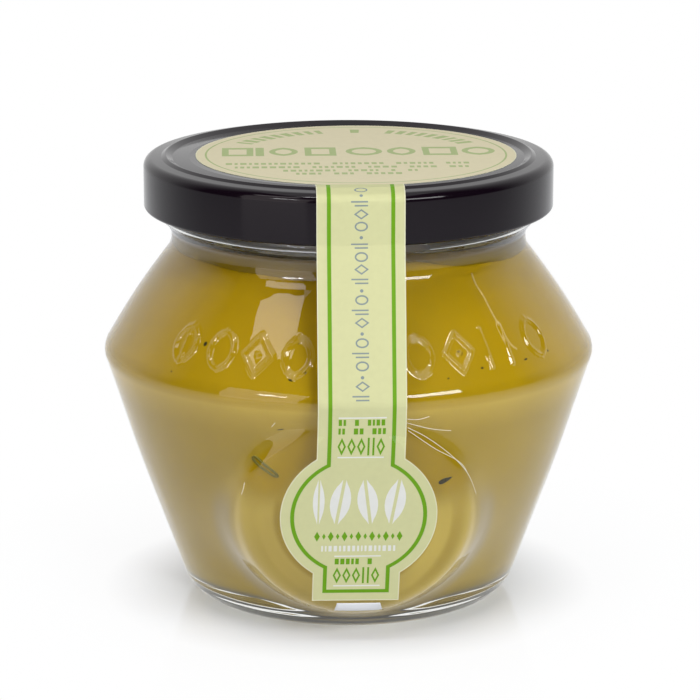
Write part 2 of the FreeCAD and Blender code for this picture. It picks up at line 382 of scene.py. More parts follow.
# Colours of the spread by height: grey at the floor, a painted shade; ochre below the ridge,
# paler than the deep colour above, a painted reflection of the floor on the downward cone;
# a paler band just under the ridge, a painted highlight; deep above.
SPREAD_COLOURS_AND_PAINTED_LIGHT = (
    (4.96 * MM, (0.2, 0.19, 0.15)),
    (6.0 * MM, (0.385, 0.27, 0.028)),
    (38.4 * MM, (0.385, 0.27, 0.028)),
    (43.44 * MM, (0.50, 0.355, 0.05)),
    (44.96 * MM, (0.34, 0.22, 0.003)),
    (64.0 * MM, (0.33, 0.21, 0.002)),
)

# Painted light on the spread round the medallion, where its rounded edge bends the light: a
# pale arc that is a painted highlight, a darker band outside it that is painted shade, and deep
# arcs above it that paint the upper colour seen through the thick glass. Each has its colour,
# radii where it begins and is full, radii where it is full and ends, and the heights above
# the medallion's middle where it begins and is full. Lengths are millimetres.
MEDALLION_PAINTED_LIGHT = (
    ((0.52, 0.385, 0.07), (13.5, 14.6), (16.4, 17.6), (5.0, 0.0)),
    ((0.34, 0.255, 0.085), (17.4, 19.0), (21.0, 23.5), (5.0, -1.0)),
    ((0.37, 0.24, 0.002), (12.5, 14.5), (17.0, 18.5), (3.0, 6.5)),
)
MEDALLION_PAINTED_LIGHT_HEIGHT = MEDALLION_HEIGHT - 0.5 * MM
MEDALLION_PAINTED_LIGHT_DEPTH = (-10.0, -15.0)  # millimetres along Y where the painted light begins and is full


def paint_medallion_light(tree, colour):
    """The colour with arcs of painted highlight and painted shade behind the medallion's rounded
    edge.
    """
    away = tree.vector("SUBTRACT", tree.place(), (0, 0, MEDALLION_PAINTED_LIGHT_HEIGHT))
    reach = tree.vector("LENGTH", tree.vector("MULTIPLY", away, (1, 0, 1)))
    split = tree.add("SeparateXYZ", away).outputs
    front = tree.between(split["Y"], *(depth * MM for depth in MEDALLION_PAINTED_LIGHT_DEPTH))
    # Each arc mixes in a painted highlight, painted shade or the upper colour seen through the
    # glass.
    for tint, start, stop, level in MEDALLION_PAINTED_LIGHT:
        share = front
        for value, none, full in ((reach, *start), (reach, *stop[::-1]), (split["Z"], *level)):
            share = tree.maths("MULTIPLY", share, tree.between(value, none * MM, full * MM))
        colour = tree.out("MixRGB", share, colour, (*tint, 1))
    return colour


def spread_material():
    """Yellow-green spread: deep and oily above the ridge, finely speckled.

    Paler below the ridge as a painted reflection of the floor, with painted shade at its floor,
    a painted highlight under the ridge and painted light round the medallion.
    """
    material, tree = new_material("pistachio_spread")
    # The height ramp paints shade at the floor, a highlight under the ridge and the floor's
    # reflection below it; the medallion's arcs are painted light.
    colour = paint_medallion_light(tree, tree.ramp(tree.height(), SPREAD_COLOURS_AND_PAINTED_LIGHT, 80 * MM))
    clouds = tree.out("MapRange", Value=tree.noise(90.0, 3.0), To_Min=0.93, To_Max=1.07)
    shaded = tree.add("VectorMath", colour, operation="SCALE", Scale=clouds).outputs["Vector"]
    bumps = (700.0, 0.02 * MM)
    tree.add("OutputMaterial", tree.principled(shaded, bumps, (0.4, 0.6), Specular_IOR_Level=0.04))
    return material


# Oily film: colours of its streaks, and of its lower edge where it merges with the spread.
STREAKS = ((0, (0.10, 0.07, 0.035)), (1, (0.50, 0.40, 0.26)))
FILM_EDGE = (0.21, 0.14, 0.003, 1)


def film_material():
    """Oily streaks that lie level and turn to the spread's colour lower down."""
    material, tree = new_material("oily_film")
    flat = tree.vector("MULTIPLY", tree.place(), (1, 1, 6))
    streaks = tree.ramp(tree.noise(90.0, 4.0, flat), STREAKS)
    merged = tree.between(tree.height(), 68.4 * MM, 65.2 * MM)
    colour = tree.out("MixRGB", merged, streaks, FILM_EDGE)
    bumps = (400.0, 0.02 * MM)
    shader = tree.principled(colour, bumps, (0.25, 0.45), Specular_IOR_Level=0.1, Alpha=0.8)
    tree.add("OutputMaterial", shader)
    return material


# ------------------------------------------------------------------ the glass


LOWER_CONE = (7.2 * MM, 44.3 * MM, 0.3 * MM, 2)  # from, to, how far it bulges, and how softly
UPPER_CONE = (46.8 * MM, 63.2 * MM, 0.42 * MM, 1)
CONES_FROM = 27 * MM  # radius beyond which the outline is a cone, not the foot or the floor
FACE_CLEAR = 0.02 * MM  # gap between the plane of the medallion's face and the ridge


def bulged(outline):
    """The outline with both cones a little convex."""
    outline = outline.copy()
    for low, high, bulge, soft in (LOWER_CONE, UPPER_CONE):
        part = np.clip((outline[:, 1] - low) / (high - low), 0, 1)
        swell = bulge * np.sin(math.pi * part) ** soft
        outline[:, 0] += np.where(outline[:, 0] > CONES_FROM, swell, 0)
    return outline


def jar_outline():
    return [
        (0, 0, 0),
        (FOOT_RADIUS - HEEL_ROUND, HEEL_ROUND, HEEL_ROUND),
        (RIDGE_RADIUS - RIDGE_ROUND, RIDGE_HEIGHT, RIDGE_ROUND),
        (NECK_RADIUS + NECK_ROUND, NECK_HEIGHT, -NECK_ROUND),
        (BEAD_RADIUS, BEAD_HEIGHT, 0),
        (BEAD_RADIUS - RIM_ROUND, RIM_HEIGHT - RIM_ROUND, RIM_ROUND),
        (NECK_RADIUS - WALL, RIM_HEIGHT, 0),
    ]


def hollow_outline():
    return [
        (0, FLOOR_HEIGHT, 0),
        (FOOT_RADIUS - WALL - FLOOR_ROUND, FLOOR_HEIGHT + FLOOR_ROUND, FLOOR_ROUND),
        (RIDGE_RADIUS - WALL - INNER_RIDGE_ROUND, RIDGE_HEIGHT, INNER_RIDGE_ROUND),
        (NECK_RADIUS + NECK_ROUND, NECK_HEIGHT, -(NECK_ROUND + WALL)),
        (NECK_RADIUS - WALL, RIM_HEIGHT, 0),
    ]


def hollow_radius(heights, step=1.5 * MM):
    """Radius of the hollow at one height or several."""
    hollow = bulged(trace(hollow_outline(), step))[1:]
    return np.interp(heights, hollow[:, 1], hollow[:, 0])


def face_plane():
    """A point of the medallion's face and the face's outward normal."""
    foot = FOOT_RADIUS + MEDALLION_FOOT_RISE
    out = RIDGE_RADIUS - RIDGE_ROUND - foot
    up = RIDGE_HEIGHT - HEEL_ROUND
    clear = RIDGE_ROUND + FACE_CLEAR
    lean = math.atan2(out, up) + math.asin(clear / math.hypot(out, up))
    reach = foot + (MEDALLION_HEIGHT - HEEL_ROUND) * math.tan(lean)
    return np.array([0, -reach, MEDALLION_HEIGHT]), np.array([0, -math.cos(lean), -math.sin(lean)])


FACE_CENTRE, FACE_NORMAL = face_plane()


def blend_down(first, second, width):
    """The lower of two distances, with a soft change of the given width."""
    width = np.maximum(width, 1e-9)
    overlap = np.maximum(width - np.abs(first - second), 0) / width
    return np.minimum(first, second) - overlap**2 * width / 4


def medallion_distance(places):
    """Signed distance to the medallion's rounded frustum, and depth behind its face."""
    away = places - FACE_CENTRE
    rise = away @ FACE_NORMAL
    across = np.linalg.norm(away - rise[..., None] * FACE_NORMAL, axis=-1)
    slant = math.hypot(1, MEDALLION_FLARE)
    wall = (across - MEDALLION_RADIUS + MEDALLION_FLARE * (rise + MEDALLION_ROUND * 0.5)) / slant
    return -blend_down(-rise, -wall, MEDALLION_ROUND), -rise


MEDALLION_REACH = math.radians(70)  # turns to either side within which it is looked for
MEDALLION_FROM = 0.5 * MM  # height below which the outside is plain
BLEND_SHARE = 0.8  # width of the blend for each depth behind the face
HALVINGS = 36


def outer_radius(radius, height, angles):
    """Radius of the jar's outside at a height, with the medallion blended in."""
    radii = np.full(len(angles), radius)
    reach = np.abs(angles) < MEDALLION_REACH
    if not MEDALLION_FROM < height < RIDGE_HEIGHT:
        return radii
    turn = angles[reach]
    low, high = np.full(len(turn), radius - MM), np.full(len(turn), RIDGE_RADIUS + MM)
    level = np.full(len(turn), height)
    for _ in range(HALVINGS):
        middle = (low + high) / 2
        places = np.stack([middle * np.sin(turn), -middle * np.cos(turn), level], 1)
        disc, depth = medallion_distance(places)
        width = np.clip(depth * BLEND_SHARE, 0, MEDALLION_BLEND)
        inside = blend_down(middle - radius, disc, width) < 0
        low, high = np.where(inside, middle, low), np.where(inside, high, middle)
    radii[reach] = np.maximum(low, radius)
    return radii


def outside_place(turn, radius, height, out):
    """A place just off the jar's outside, where its radius without the medallion is known."""
    return from_front(turn, outer_radius(radius, height, np.array([turn]))[0] + out, height)


def lower_cone(step, turn):
    """Heights and radii of the outside from the heel to the ridge."""
    outline = bulged(trace(jar_outline(), step, turn))[3:]
    low = outline[:, 1] < RIDGE_HEIGHT
    return outline[low, 1], outline[low, 0]


FRONT = math.radians(62)
FRONT_COLUMNS, BACK_COLUMNS = 361, 79


def column_angles():
    """Angles of the glass's columns: close together in front, wider behind."""
    close = np.linspace(-FRONT, FRONT, FRONT_COLUMNS)
    back = np.linspace(FRONT, 2 * math.pi - FRONT, BACK_COLUMNS + 2)[1:-1]
    return np.concatenate([close, back])


# Ornaments that stand out on the upper cone: turn from the front and kind.
BAND = (
    (-45.8, "leaf"), (-34.5, "almond"), (-24.4, "lozenge"), (-14.2, "almond"), (15.5, "almond"),
    (26.0, "lozenge"), (37.1, "bars"), (51.0, "almond"),
)
BAND_HEIGHT = 52.3 * MM
BAND_HALF = 3.5 * MM  # half the height of an ornament along the slope
BAND_WIDE = 2.3 * MM
STROKE = 0.33 * MM
RELIEF = 0.42 * MM
SLOPE_SHARE = 1.18  # length along the upper cone for each height


def to_segment(across, up, start, end):
    """Distance from places to a straight stroke."""
    run = (end[0] - start[0], end[1] - start[1])
    part = ((across - start[0]) * run[0] + (up - start[1]) * run[1]) / (run[0] ** 2 + run[1] ** 2)
    part = np.clip(part, 0, 1)
    return np.hypot(across - start[0] - part * run[0], up - start[1] - part * run[1])


def to_almond(across, up, wide, high):
    """Distance to the outline of two arcs that meet in points above and below."""
    radius = (wide**2 + high**2) / (2 * wide)
    side = np.hypot(np.abs(across) + radius - wide, up)
    tips = np.hypot(across, np.abs(up) - high)
    return np.where(np.abs(up) < high, np.abs(side - radius), tips)


def to_ornament(kind, across, up):
    if kind == "bars":
        return to_segment(np.abs(across), up, (BAND_WIDE, -BAND_HALF), (BAND_WIDE, BAND_HALF))
    if kind == "lozenge":
        tall, wide = BAND_HALF, BAND_WIDE * 1.15
        away = to_segment(np.abs(across), np.abs(up), (wide, 0), (0, tall))
        return np.minimum(away, np.hypot(across, up))
    away = to_almond(across, up, BAND_WIDE, BAND_HALF)
    if kind == "leaf":
        away = np.minimum(away, to_segment(across, up, (0, -BAND_HALF), (0, BAND_HALF * 0.5)))
    return away


def relief(radius, height, turns):
    """How far the ornaments stand out of the upper cone."""
    up = (height - BAND_HEIGHT) * SLOPE_SHARE
    rise = np.zeros(len(turns))
    if abs(up) > BAND_HALF + 2 * STROKE:
        return rise
    for turn, kind in BAND:
        across = (turns - math.radians(turn)) * radius
        near = np.clip((1.7 * STROKE - to_ornament(kind, across, up)) / (1.2 * STROKE), 0, 1)
        rise = np.maximum(rise, near * near * (3 - 2 * near) * RELIEF)
    return rise


THREAD_LOW, THREAD_HIGH = 72.9 * MM, 74.5 * MM
THREAD_REACH = 1.2 * MM
THREAD_ARC = math.radians(40)
THREAD_RUNOUT = math.radians(4)


def thread(height, turns):
    """The four short threads that the lid's lugs hook under."""
    middle, half = (THREAD_LOW + THREAD_HIGH) / 2, (THREAD_HIGH - THREAD_LOW) / 2
    level = np.clip(1 - ((height - middle) / half) ** 2, 0, 1)
    quarter = math.pi / 2
    away = np.abs((turns + quarter / 2) % quarter - quarter / 2)
    along = np.clip((THREAD_ARC / 2 - away) / THREAD_RUNOUT, 0, 1)
    return THREAD_REACH * math.sqrt(level) * np.sqrt(along)


RIPPLE_LOW, RIPPLE_TOP = 0.4 * MM, 6.0 * MM
RIPPLE_DEPTH, RIPPLE_PITCH = 0.045 * MM, 1.3 * MM
NECK_RINGS = (66.6 * MM, 68.2 * MM)
RING_DEPTH, RING_HALF = 0.1 * MM, 0.35 * MM


def ripples(height):
    """Faint rings that the mould left round the heel and the neck."""
    if height > NECK_HEIGHT:
        rings = sum(math.exp(-(((height - ring) / RING_HALF) ** 2)) for ring in NECK_RINGS)
        return -RING_DEPTH * rings
    if not RIPPLE_LOW < height < RIPPLE_TOP:
        return 0.0
    fade = math.sin(math.pi * height / RIPPLE_TOP)
    return -RIPPLE_DEPTH * fade * (1 - math.cos(2 * math.pi * height / RIPPLE_PITCH))


BAND_REACH = 4.2 * MM  # heights off the band's middle that keep every row
RUN_STEPS = (4 * MM, 1 * MM, 0.3 * MM, 0.35 * MM, 0.8 * MM, 1 * MM)  # for each straight run


def outside_rows():
    """The jar's outline, close where it has ripples or ornaments and wider elsewhere."""
    steps = list(RUN_STEPS)
    fine = trace(jar_outline(), steps, math.radians(2.5))
    coarse = trace(jar_outline(), steps, math.radians(4.5))
    rows = [place for place in fine if place[1] < RIPPLE_TOP]
    skipped = 0
    for place in coarse[np.argmax(coarse[:, 1] >= RIPPLE_TOP):]:
        plain = RIDGE_HEIGHT < place[1] < NECK_HEIGHT and abs(place[1] - BAND_HEIGHT) > BAND_REACH
        skipped = (skipped + 1) % 3 if plain else 0
        if skipped == 0:
            rows.append(place)
    return bulged(np.array(rows))


def glass():
    angles = column_angles()
    wrapped = (angles + math.pi) % (2 * math.pi) - math.pi
    outline = outside_rows()
    rows = [(0, 0.0)]
    for radius, height in outline[1:]:
        radii = outer_radius(radius, height, wrapped) + ripples(height)
        if height > RIDGE_HEIGHT:
            radii = radii + relief(radius, height, wrapped)
        if THREAD_LOW < height < THREAD_HIGH:
            radii = radii + thread(height, wrapped)
        rows.append((radii, height))
    inner = bulged(trace(hollow_outline(), 4 * MM, math.radians(10)))[::-1]
    rows += [(radius, height) for radius, height in inner[1:-1]]
    rows.append((0, FLOOR_HEIGHT))
    points, faces = revolved(rows, angles)
    piece = make_object("glass", points, faces, [glass_material()])
    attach(piece, "root")
    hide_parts("jar_glass")


PAD_LOW, PAD_HIGH = 5.75 * MM, 7.5 * MM
PAD_HALF, PAD_NARROWING = 3.75 * MM, 0.45 * MM
PAD_SHIFT = 0.5 * MM
PAD_PROUD = 0.03 * MM
PAD_COLUMNS, PAD_ROWS = 21, 7


def heel_pad():
    """Small matt key mark of the mould on the heel, just under the label, coloured pale as painted
    light for what the heel lets through from below.
    """
    cone = lower_cone(0.3 * MM, math.radians(2))
    points, faces = [], []
    for out in (-PAD_PROUD, PAD_PROUD):
        for j in range(PAD_ROWS):
            share = j / (PAD_ROWS - 1)
            height = PAD_LOW + (PAD_HIGH - PAD_LOW) * share
            half = PAD_HALF - PAD_NARROWING * share
            radius = np.interp(height, *cone)
            for k in range(PAD_COLUMNS):
                x = PAD_SHIFT + half * (2 * k / (PAD_COLUMNS - 1) - 1)
                points.append(outside_place(math.asin(x / radius), radius, height, out))
    count = PAD_COLUMNS * PAD_ROWS
    for j in range(PAD_ROWS - 1):
        for k in range(PAD_COLUMNS - 1):
            a = j * PAD_COLUMNS + k
            quad = (a, a + 1, a + PAD_COLUMNS + 1, a + PAD_COLUMNS)
            faces.append(quad[::-1])
            faces.append(tuple(i + count for i in quad))
    last = PAD_COLUMNS - 1
    rim = list(range(PAD_COLUMNS)) + [last + j * PAD_COLUMNS for j in range(1, PAD_ROWS)]
    rim += [count - 1 - k for k in range(1, PAD_COLUMNS)]
    rim += [j * PAD_COLUMNS for j in range(PAD_ROWS - 2, 0, -1)]
    for a, b in zip(rim, rim[1:] + rim[:1]):
        faces.append((a, b, b + count, a + count))
    bumps = (1500.0, 0.02 * MM)
    # Pale colour: painted light where the heel glass lets light through.
    material = plain_material("matt_mark_painted_light", (0.74, 0.76, 0.8), bumps=bumps, rough=(0.3, 0.45))
    piece = make_object("heel_mark_painted_light", points, faces, [material])
    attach(piece, "root")


# Fine pale lines on the glass beside the strip and the medallion, partly creases and scratches
# and partly painted highlights where thin bright streaks lie: turn in degrees and height
# in millimetres of their bends.
CREASES_AND_GLINTS = (
    ((11.5, 40.8), (16.1, 38.8), (22.0, 35.2), (26.5, 31.5), (29.5, 27.4)),
    ((11.6, 40.3), (17.7, 36.9), (24.2, 33.8), (26.7, 31.2)),
    ((11.4, 41.6), (17.1, 40.2), (22.3, 39.4)),
    ((11.4, 42.3), (14.0, 42.1), (16.5, 42.5)),
    ((-19.6, 40.6), (-18.7, 41.4)),
    ((-27.0, 28.2), (-26.4, 29.3), (-26.1, 30.4)),
)
CREASE_GLINT_HALF, CREASE_GLINT_PROUD = 0.05 * MM, 0.01 * MM


def creases_and_glints():
    cone = lower_cone(1 * MM, math.radians(6))
    points, faces = [], []
    for bends in CREASES_AND_GLINTS:
        spots = []
        for turn, height in bends:
            radius = np.interp(height * MM, *cone)
            spots.append(outside_place(math.radians(turn), radius, height * MM, CREASE_GLINT_PROUD))
        more, loops = tube(smooth(spots, 6), CREASE_GLINT_HALF, 6, False)
        faces += [tuple(i + len(points) for i in loop) for loop in loops]
        points += more
    # Pale lines: partly scratches and creases, partly painted highlights.
    material = plain_material("crease_glint", (0.85, 0.83, 0.72), Roughness=0.25)
    piece = make_object("creases_and_glints", points, faces, [material])
    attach(piece, "root")


# ------------------------------------------------------------------ the spread

SPREAD_REACH = 0.12 * MM  # how far the spread reaches into the wall, so that no air shows
SMEAR_FROM = 59.5 * MM
SMEAR_BEND = 1.3
# Where the edge is drawn up: middle and width in degrees, height in millimetres.
SMEARS = ((17, 7, 3.2), (27, 9, 1.5), (41, 14, 1.3), (-62, 25, 0.8), (150, 40, 1.2))
# How the spread's top comes down from the wall: millimetres inward, share of the smear left.
MENISCUS = ((0.5, 0.9), (1.4, 0.45), (3.0, 0.15), (6.0, 0.0))
AROUND = np.linspace(-math.pi, math.pi, 361)[:-1]


def smear(turns):
    """How far the spread's edge is drawn up the neck: most at the right of the label."""
    rise = 0.25 * np.sin(3 * turns + 1) + 0.15 * np.sin(7 * turns) + 0.12 * np.sin(13 * turns + 2)
    for middle, width, high in SMEARS:
        away = (np.degrees(turns) - middle) / width
        rise = rise + high * np.exp(-away * away)
    return rise * MM


def spread():
    rise = smear(AROUND)
    rows = [(0, FLOOR_HEIGHT - SPREAD_REACH)]
    for radius, height in bulged(trace(hollow_outline(), 1.5 * MM))[1:]:
        if height > LEVEL - 0.05 * MM:
            break
        drop = SPREAD_REACH if radius < FOOT_RADIUS - WALL - FLOOR_ROUND / 2 else 0
        if height > SMEAR_FROM:
            share = (height - SMEAR_FROM) / (LEVEL - SMEAR_FROM)
            heights = height + rise * share**SMEAR_BEND
            rows.append((hollow_radius(heights) + SPREAD_REACH, heights))
        else:
            rows.append((radius + SPREAD_REACH, height - drop))
    wall = hollow_radius(LEVEL + rise)
    rows.append((wall + SPREAD_REACH, LEVEL + rise))
    rows += [(wall - inward * MM, LEVEL + share * rise) for inward, share in MENISCUS]
    rows.append((0, LEVEL))
    points, faces = revolved(rows, AROUND)
    piece = make_object("spread_filling", points, faces, [spread_material()])
    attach(piece, "root")
    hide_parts("spread")


FILM_TOP = 67.6 * MM
FILM_OUT, FILM_IN = 0.02 * MM, 0.06 * MM  # how far it reaches into the wall and off it
FILM_ROWS = 9
FILM_OVERLAP = 0.3 * MM  # how far it starts below the spread's edge


def film():
    """Thin smear of spread and oil on the neck's inside, above the level."""
    rise = smear(AROUND)
    bottom = LEVEL + rise - FILM_OVERLAP
    top = FILM_TOP + rise * 0.5
    rows = []
    for start, end, out in ((0, 1, FILM_OUT), (1, 0, -FILM_IN)):
        for share in np.linspace(start, end, FILM_ROWS):
            heights = bottom + (top - bottom) * share
            rows.append((hollow_radius(heights, 1 * MM) + out, heights))
    points, faces = revolved(rows, AROUND)
    faces += ring_faces(len(AROUND), len(points) - len(AROUND), 0)
    piece = make_object("oily_film", points, faces, [film_material()])
    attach(piece, "root")


# Flecks at the wall: turn, height, length, width, tilt; degrees and millimetres.
FLECKS = (
    (24.8, 30.0, 1.6, 1.1, 20), (-15.9, 47.9, 0.9, 0.5, -15), (-41.8, 51.6, 0.9, 0.7, 70),
    (-18.3, 39.6, 1.3, 0.3, 12), (32.6, 48.4, 0.6, 0.4, 0), (27.8, 51.0, 0.6, 0.4, 40),
    (47.0, 48.2, 0.9, 0.35, 5), (56.6, 48.3, 0.5, 0.4, 0), (22.7, 47.6, 0.4, 0.3, 0),
    (-49.0, 46.5, 0.4, 0.3, 0), (-13.1, 49.4, 0.5, 0.3, 60), (-15.1, 53.4, 0.4, 0.3, 0),
    (21.0, 18.1, 0.8, 0.3, -30),
)
FLECK_HALF = 0.12 * MM  # half the thickness of a fleck
FLECK_RINGS, FLECK_SIDES = 6, 10

# The curled piece of nut skin, in the same terms, and the half thickness of its edge.
CHIP = (-23.4, 32.3, 3.0, 0.85, -42)
CHIP_HALF = 0.25 * MM
CHIP_STEPS = 28

# The pale trail in the spread: turn in degrees and height in millimetres of its bends.
TRAIL = (
    (42.1, 62.4), (41.7, 60.5), (42.4, 58.6), (42.5, 56.7), (43.1, 53.5), (44.1, 51.0),
    (45.5, 50.0),
)
TRAIL_HALF, TRAIL_IN = 0.2 * MM, 0.12 * MM
IN_WALL = 0.1 * MM  # how far the middles of the flecks and the skin lie in the wall


def wall_place(turn, height, out=0.0):
    """A place on the hollow's wall, turn in degrees and height in metres."""
    return from_front(math.radians(turn), hollow_radius(height) + out, height)


def wall_axes(turn, height, tilt):
    """Directions along, across and out of the wall, with the first tilted."""
    here = wall_place(turn, height)
    side = (wall_place(turn + 0.5, height) - here).normalized()
    up = (wall_place(turn, height + 0.2 * MM) - here).normalized()
    out = side.cross(up).normalized()
    cos, sin = math.cos(math.radians(tilt)), math.sin(math.radians(tilt))
    return side * cos + up * sin, up * cos - side * sin, out


def flecks():
    points, faces = [], []
    for turn, height, length, width, tilt in FLECKS:
        along, across, out = wall_axes(turn, height * MM, tilt)
        centre = wall_place(turn, height * MM, IN_WALL)
        start = len(points)
        for i in range(FLECK_RINGS + 1):
            lean = math.pi * i / FLECK_RINGS
            for j in range(FLECK_SIDES):
                angle = 2 * math.pi * j / FLECK_SIDES
                rough = random.uniform(0.85, 1.15)
                spot = along * (length / 2 * MM * math.cos(lean))
                spot += across * (width / 2 * MM * math.sin(lean) * math.cos(angle) * rough)
                spot += out * (FLECK_HALF * math.sin(lean) * math.sin(angle))
                points.append(centre + spot)
        for i in range(FLECK_RINGS):
            row = start + i * FLECK_SIDES
            faces += ring_faces(FLECK_SIDES, row, row + FLECK_SIDES)
    return make_object("flecks", points, faces, [fleck_material("fleck", (0.035, 0.03, 0.006))])


def nut_skin():
    turn, height, length, width, tilt = CHIP
    along, across, _ = wall_axes(turn, height * MM, tilt)
    centre = wall_place(turn, height * MM, IN_WALL)
    loop = []
    for k in range(CHIP_STEPS):
        angle = 2 * math.pi * k / CHIP_STEPS
        spot = along * (length / 2 * MM * math.cos(angle))
        spot += across * (width / 2 * MM * math.sin(angle))
        loop.append(centre + spot)
    points, faces = tube(loop, CHIP_HALF, 8, True)
    return make_object("nut_skin", points, faces, [fleck_material("skin", (0.17, 0.15, 0.025))])


def pale_trail():
    spots = [wall_place(turn, height * MM, TRAIL_IN) for turn, height in TRAIL]
    points, faces = tube(smooth(spots, 5), TRAIL_HALF, 8, False)
    return make_object("pale_trail", points, faces, [fleck_material("paste", (0.5, 0.36, 0.11))])


def bits():
    """Flecks, a piece of skin and a trail of paste, which all touch the wall."""
    for made in (flecks(), nut_skin(), pale_trail()):
        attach(made, "root")


# ------------------------------------------------------------------ the label

DISC_RADIUS = (label_high[0] - label_low[0]) / 2
HALF_STRIP = 7.5 * MM
ROUNDEL_RADIUS = 13.45 * MM
TAB_HEIGHT = label_low[2]
PAPER = 0.12 * MM
LIFT = 0.05 * MM
STRIP_SHIFT = 0.92 * MM  # the strip was stuck on a little to the right,
KINK = 75 * MM  # and below the ridge it turns a little back to the left
KINK_LEAN = 0.027
DISC_SHIFT = 0.45 * MM
DISC_BACK = 1.0 * MM
ROUNDEL_AT = 93.05 * MM  # distances along the label from the axis
LABEL_END = 109.75 * MM
STRIP_START = 27.0 * MM
INSET = 1.75 * MM
LINE = 0.68 * MM
SHOULDER_ROUND = 1.6 * MM
SHOULDER = (LID_RADIUS - SHOULDER_ROUND, PANEL_HEIGHT + 0.1 * MM - SHOULDER_ROUND)
CURL_ROUND = 0.6 * MM
LOOSE_BEND = 2.0 * MM
RING_RISE = (29.6 * MM, 31.0 * MM)  # between which the label climbs onto the lid's ring


def label_path():
    """The label's centre line, as distance in front of the axis and height."""
    bend = 0.3 * MM
    up_the_face = np.array([0, FACE_NORMAL[2], -FACE_NORMAL[1]])
    tab = FACE_CENTRE + (TAB_HEIGHT - FACE_CENTRE[2]) / -FACE_NORMAL[1] * up_the_face
    return [
        (-DISC_RADIUS - MM, PANEL_HEIGHT, 0),
        (RING_RISE[0], PANEL_HEIGHT + bend, bend),
        (RING_RISE[1], LID_TOP - bend + LIFT, -bend),
        (RING_RADIUS, LID_TOP - bend + LIFT, -bend),
        (SHOULDER[0], SHOULDER[1], -SHOULDER_ROUND - LIFT),
        (LID_RADIUS + LIFT + LOOSE_BEND, LID_EDGE + CURL_ROUND, LOOSE_BEND),
        (RIDGE_RADIUS - RIDGE_ROUND, RIDGE_HEIGHT, -RIDGE_ROUND - LIFT),
        (-tab[1], tab[2], 0),
    ]


class Print:
    """Flat shapes on the label, each over the ones before it. Units are millimetres."""

    def __init__(self):
        self.shapes = []

    def shape(self, points, slot):
        turn = sum(a[0] * b[1] - b[0] * a[1] for a, b in zip(points, points[1:] + points[:1]))
        if turn < 0:
            points = points[::-1]
        self.shapes.append(([(u * MM, v * MM) for u, v in points], slot))

    def box(self, left, top, right, bottom, slot):
        self.shape([(left, top), (left, bottom), (right, bottom), (right, top)], slot)

    def lozenge(self, u, v, wide, high, slot):
        self.shape([(u - wide, v), (u, v - high), (u + wide, v), (u, v + high)], slot)

    def disc(self, u, v, wide, high, slot, count):
        turns = [-2 * math.pi * k / count for k in range(count)]
        self.shape([(u + wide * math.cos(a), v + high * math.sin(a)) for a in turns], slot)

    def almond(self, u, v, wide, high, slot, count=8):
        """Two arcs that meet in points at the top and the bottom."""
        radius = (wide**2 + high**2) / (2 * wide)
        half = math.asin(high / radius)
        points = []
        for side in (1, -1):
            for k in range(count):
                angle = half - 2 * half * k / count
                a = (radius * math.cos(angle) - radius + wide) * side
                points.append((u + a, v - radius * math.sin(angle) * side))
        self.shape(points[::-1], slot)

    def row(self, left, right, top, bottom, slot, letter, gap, words=0.12):
        """A row of short upright bars with wider gaps here and there."""
        u = left
        while u < right - letter * 0.4:
            wide = letter * random.uniform(0.5, 1.25)
            self.box(u, top, min(u + wide, right), bottom, slot)
            u += wide + gap + (2 * letter if random.random() < words else 0)


STRIP_PAPER, DISC_PAPER, GREEN, PALE_GREEN, WHITE, GREY_BLUE, EDGE = range(7)

# Large row on the disc: left end and width of each figure. Four fine rows: left, right, top.
FIGURES = (
    (-23.9, 5.6), (-17.9, 1.5), (-15.5, 5.2), (-9.1, 5.6), (-1.8, 6.6), (5.6, 5.2),
    (12.0, 6.2), (19.0, 6.0),
)
FINE_ROWS = ((-23.2, 20.2, 8.1), (-21.6, 19.4, 11.4), (-13.2, 10.2, 14.6), (-11.0, 9.2, 17.4))
BENT_ROW_INNER, BENT_ROW_OUTER, BENT_ROW_TURN = 21.0, 24.3, 62.0
BENT_ROW_GAPS = ((-14, -6), (5, 12))


def disc_print(sheet, u, v):
    """Ring, bent row, large row and four fine rows on the lid's disc."""
    radius = DISC_RADIUS / MM
    rings = ((radius, EDGE), (radius - 0.15, DISC_PAPER), (26.95, PALE_GREEN), (26.6, DISC_PAPER))
    for reach, slot in rings:
        sheet.disc(u, v, reach, reach, slot, 128)
    angle = -BENT_ROW_TURN
    while angle < BENT_ROW_TURN:
        wide = random.uniform(2.6, 4.2)
        if not any(low < angle < high for low, high in BENT_ROW_GAPS):
            start, end = math.radians(angle), math.radians(angle + wide)
            corners = [(BENT_ROW_INNER, start), (BENT_ROW_INNER, end)]
            corners += [(BENT_ROW_OUTER, end), (BENT_ROW_OUTER, start)]
            corners = [(u + r * math.sin(a), v - r * math.cos(a)) for r, a in corners]
            sheet.shape(corners, PALE_GREEN)
        angle += wide + 2.2
    top, bottom = v - 6.4, v + 1.6
    for k, (left, wide) in enumerate(FIGURES):
        left += u
        if wide < 2 or k % 3 == 0:
            sheet.box(left, top, left + wide, bottom, PALE_GREEN)
            if wide >= 2:
                sheet.box(left + 1.2, top + 1.5, left + wide - 1.2, bottom - 1.5, DISC_PAPER)
        else:
            middle = (left + wide / 2, (top + bottom) / 2)
            sheet.almond(*middle, wide / 2, 4.0, PALE_GREEN)
            sheet.almond(*middle, wide / 2 - 1.1, 2.4, DISC_PAPER)
    for left, right, top in FINE_ROWS:
        sheet.row(u + left, u + right, v + top, v + top + 1.7, PALE_GREEN, 0.9, 0.45)


